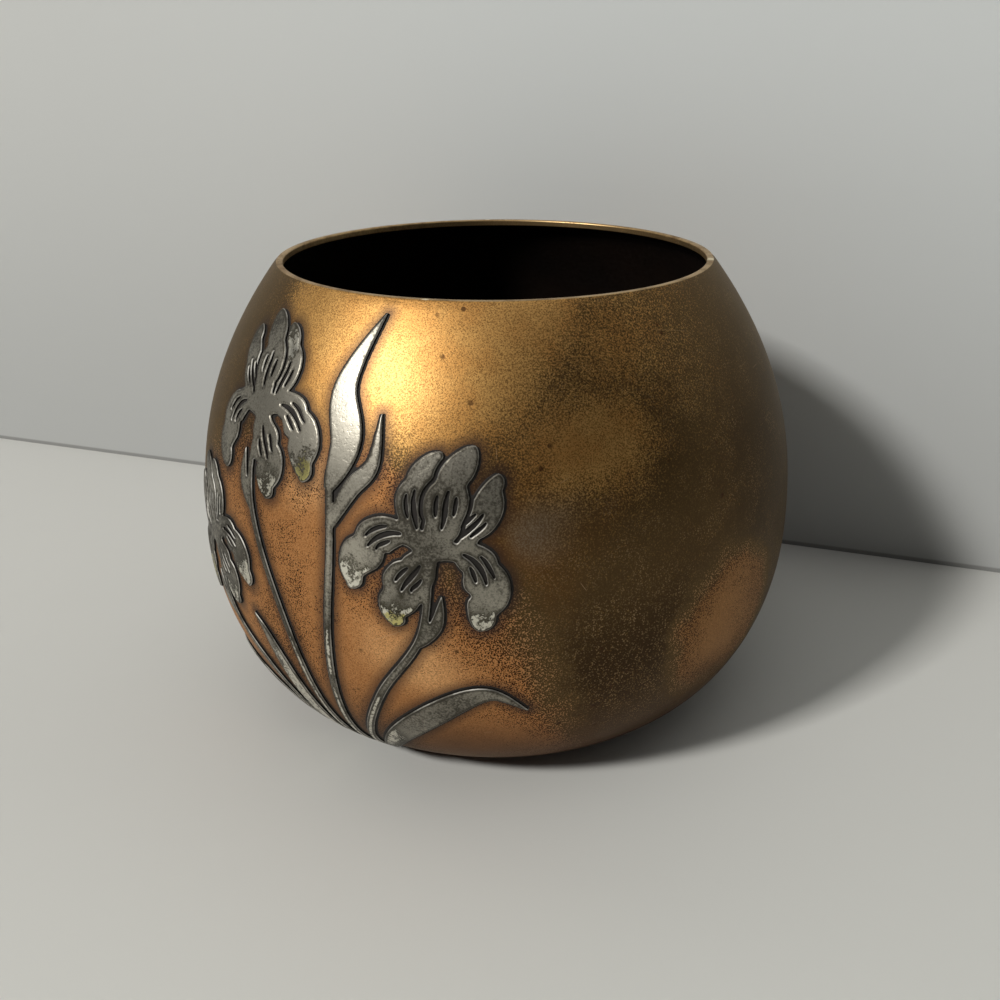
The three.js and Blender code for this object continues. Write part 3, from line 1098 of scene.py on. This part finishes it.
def old_polish():
    made = Finish("old_polish")
    colour = made.blend(made.noise(900, 3), POLISH_BLACK, POLISH_BROWN)
    made.set(Base_Color=colour, Metallic=0.1, Roughness=0.75)
    return made.material


# The body's finishes, in the order of its material slots.
BODY_FINISHES = (bronze_patina, bronze_inside, bronze_lip, base_bronze)
OUTSIDE, INSIDE, LIP, BASE = range(len(BODY_FINISHES))

# How far an area runs past its border, in millimetres, and how far up a face looks that is flat on top.
AREA_MARGIN = 0.1
MOSTLY_UP = 0.7
FULLY_UP = 0.9


def body_area(face):
    """Which finish a face of the body has."""
    centre = face.center / MM
    radius = math.hypot(centre.x, centre.y)
    outward = face.normal.x * centre.x + face.normal.y * centre.y > 0
    lip_inner = MOUTH_RADIUS - LIP_WIDTH
    if face.normal.z > MOSTLY_UP and centre.z > BODY_HEIGHT - LIP_ROUNDING:
        return LIP
    if centre.z > BODY_HEIGHT - LIP_DEPTH - AREA_MARGIN and radius < lip_inner + 2 * AREA_MARGIN:
        return LIP
    if centre.z < RECESS_DEPTH + AREA_MARGIN and radius < FOOT_RADIUS - WALL:
        return BASE
    if not outward or (face.normal.z > FULLY_UP and centre.z < RECESS_DEPTH + 2 * WALL):
        return INSIDE
    return OUTSIDE


def paint_body(body):
    for finish in BODY_FINISHES:
        body.data.materials.append(finish())
    for face in body.data.polygons:
        face.material_index = body_area(face)


# Paints of the table and the wall, and the places between which they change, in millimetres. The table's
# paler front is painted light.
TABLE_GREY = (0.595, 0.59, 0.56)
TABLE_PALE = (0.625, 0.62, 0.59)
TABLE_FRONT = (0.66, 0.66, 0.625)
TABLE_FRONT_FROM = -20
TABLE_FRONT_TO = -160
# The wall's darker left is painted shade, evening out the window lamp's stronger light there.
LEFT_PAINT = (0.57, 0.575, 0.56)
RIGHT_PAINT = (0.645, 0.665, 0.66)
LEFT_PAINT_TO = -170
RIGHT_PAINT_FROM = 60
# The wall's darker foot is painted shade.
LOW_PAINT = (0.445, 0.45, 0.44)
LOW_PAINT_TO = 160
# A painted shadow: the dark line along the wall's foot.
WALL_FOOT_SHADOW = (0.26, 0.26, 0.25)
WALL_SHADOW_SOLID_TO = 1.0
WALL_SHADOW_GONE_FROM = 1.6


def pale_table():
    made = Finish("pale_table")
    # Painted light: the table turns paler towards the front.
    painted_front_light = made.level(made.axes(made.place)["Y"], TABLE_FRONT_FROM * MM, TABLE_FRONT_TO * MM)
    paint = made.blend(made.noise(6, 4), TABLE_GREY, TABLE_PALE)
    made.set(Base_Color=made.blend(painted_front_light, paint, TABLE_FRONT), Roughness=0.6)
    return made.material


def pale_wall():
    """Paint that shows on the front alone, so that views from behind look through the wall."""
    made = Finish("pale_wall")
    place = made.axes(made.place)
    # Painted shade: the wall is darker to the left, where the window lamp is nearer.
    rightward = made.level(place["X"], LEFT_PAINT_TO * MM, RIGHT_PAINT_FROM * MM)
    paint = made.blend(rightward, LEFT_PAINT, RIGHT_PAINT)
    # Painted shade: the wall darkens towards the table.
    paint = made.blend(made.level(place["Z"], 0.0, LOW_PAINT_TO * MM), LOW_PAINT, paint)
    # A painted shadow line along the wall's foot.
    paint = made.blend(made.level(place["Z"], WALL_SHADOW_SOLID_TO * MM, WALL_SHADOW_GONE_FROM * MM), WALL_FOOT_SHADOW, paint)
    made.set(Base_Color=paint, Roughness=0.8)
    mixed = made.node("MixShader")
    made.link(made.node("NewGeometry").outputs["Backfacing"], mixed.inputs["Fac"])
    made.link(made.shader.outputs["BSDF"], mixed.inputs[1])
    made.link(made.node("BsdfTransparent").outputs["BSDF"], mixed.inputs[2])
    made.link(mixed.outputs["Shader"], made.tree.nodes["Material Output"].inputs["Surface"])
    return made.material


def flat_table():
    bm = bmesh.new()
    bmesh.ops.create_grid(bm, x_segments=1, y_segments=1, size=TABLE_REACH * MM)
    table = new_object("table", bm)
    table.data.materials.append(pale_table())
    return table


def wall_behind():
    left = Vector(WALL_LEFT) * MM
    right = Vector(WALL_RIGHT) * MM
    along = (right - left).normalized() * WALL_REACH * MM
    bm = bmesh.new()
    foot = [bm.verts.new((*end, 0)) for end in (left - along, right + along)]
    edge = bm.edges.new(foot)
    raised = bmesh.ops.extrude_edge_only(bm, edges=[edge])["geom"]
    top = [item for item in raised if isinstance(item, bmesh.types.BMVert)]
    bmesh.ops.translate(bm, verts=top, vec=(0, 0, WALL_TOP * MM))
    bm.normal_update()
    for face in bm.faces:
        if face.normal.y > 0:
            face.normal_flip()
    wall = new_object("backdrop", bm)
    wall.data.materials.append(pale_wall())
    return wall


# The lamps' places and widths in metres, their power in watts and their colours.
WINDOW = ((-2.45, -1.78, 2.42), 0.5, 122, (1, 0.99, 0.96))
CEILING = ((0.1, -0.3, 2.3), 1.8, 6, (1, 1, 1))
LIT_POINT = Vector((0, 0, 0.05))
ROOM_COLOUR = (0.6, 0.62, 0.62, 1)
ROOM_STRENGTH = 0.055


def lamp(name, place, size, energy, colour):
    light = bpy.data.lights.new(name, "AREA")
    light.size = size
    light.energy = energy
    light.color = colour
    made = bpy.data.objects.new(name, light)
    made.location = place
    made.rotation_euler = (LIT_POINT - Vector(place)).to_track_quat("-Z", "Y").to_euler()
    bpy.context.scene.collection.objects.link(made)


def lights():
    lamp("window", *WINDOW)
    lamp("ceiling", *CEILING)
    world = bpy.data.worlds.new("studio")
    bpy.context.scene.world = world
    world.use_nodes = True
    room = world.node_tree.nodes["Background"]
    room.inputs["Color"].default_value = ROOM_COLOUR
    room.inputs["Strength"].default_value = ROOM_STRENGTH


def camera():
    data = bpy.data.cameras.new("camera")
    data.sensor_width = CAMERA_SENSOR
    data.lens = CAMERA_LENS
    made = bpy.data.objects.new("camera", data)
    made.location = (0, -CAMERA_DISTANCE * MM, CAMERA_HEIGHT * MM)
    upright = Euler((math.pi / 2 - CAMERA_PITCH, 0, -CAMERA_YAW)).to_matrix()
    made.rotation_euler = (upright @ Matrix.Rotation(-CAMERA_ROLL, 3, "Z")).to_euler()
    bpy.context.scene.collection.objects.link(made)
    bpy.context.scene.camera = made


camera()
silver_pieces = [silver_piece(name) for name in OVERLAY]
silver = tarnished_silver()
for piece in silver_pieces:
    piece.data.materials.append(silver)
body = spun_body(silver_tree(silver_pieces))
paint_body(body)
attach(body, "root")
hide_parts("body")
polish = old_polish()
for name in OVERLAY:
    dirt_line(name).data.materials.append(polish)
table = flat_table()
backdrop = wall_behind()
lights()
bpy.context.scene.view_settings.view_transform = "Standard"
